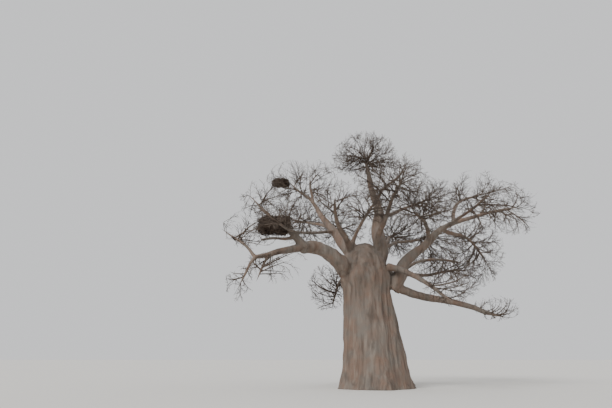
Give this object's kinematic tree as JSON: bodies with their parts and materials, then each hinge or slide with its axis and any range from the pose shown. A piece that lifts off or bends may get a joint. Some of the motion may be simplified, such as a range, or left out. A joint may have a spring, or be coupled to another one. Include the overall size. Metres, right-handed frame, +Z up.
{
  "type": "baobab tree",
  "caption": "Whole leafless baobab with a leaning barrel trunk, tapering boughs and masses of bare twigs, two of them holding stick nests.",
  "frame": {"origin": "middle of the flat cut under the trunk, at ground level", "axes": "+Z up, +X to the right of the tree as the picture shows it, -Y towards the camera of the picture"},
  "size_m": [18.3554, 14.0188, 16.3147],
  "materials": {
    "bark": "matt, creased",
    "twigs": "matt",
    "dry_sticks": "matt"
  },
  "bodies": {
    "root": {"trunk": "bark", "leader": "bark", "left_rise": "bark", "left_sweep": "bark", "right_bough": "bark", "lowest_right": "bark", "right_back": "bark", "right_drop": "bark", "left_hanger": "bark", "front_left": "bark", "front_mid": "bark", "back_left": "bark", "back_mid": "bark", "mid_left": "bark", "back_right": "bark", "left_nest_arm": "bark", "left_low_arm": "bark", "left_shelf": "bark", "left_droop": "bark", "left_tip": "bark", "left_spur": "bark", "left_fore": "bark", "left_rise_top": "bark", "left_back": "bark", "leader_right": "bark", "leader_high": "bark", "right_front": "bark", "right_crest": "bark", "right_fore": "bark", "right_weeper": "bark", "right_arch": "bark", "stick_nest_large": "dry_sticks", "stick_nest_small": "dry_sticks", "crown_top": "twigs", "upper_right": "twigs", "right_shoulder": "twigs", "left_crown": "twigs", "left_summit": "twigs", "left_behind": "twigs", "left_fan": "twigs", "left_end": "twigs", "left_weeping": "twigs", "left_curtain": "twigs", "left_front": "twigs", "hanging_left": "twigs", "front_leftward": "twigs", "front_middle": "twigs", "back_leftward": "twigs", "back_middle": "twigs", "back_rightward": "twigs", "middle_left": "twigs", "right_end": "twigs", "right_summit": "twigs", "right_front_end": "twigs", "right_forward": "twigs", "right_weeping": "twigs", "right_behind": "twigs", "right_inner": "twigs", "low_curtain": "twigs", "low_end": "twigs"}
  },
  "joints": []
}
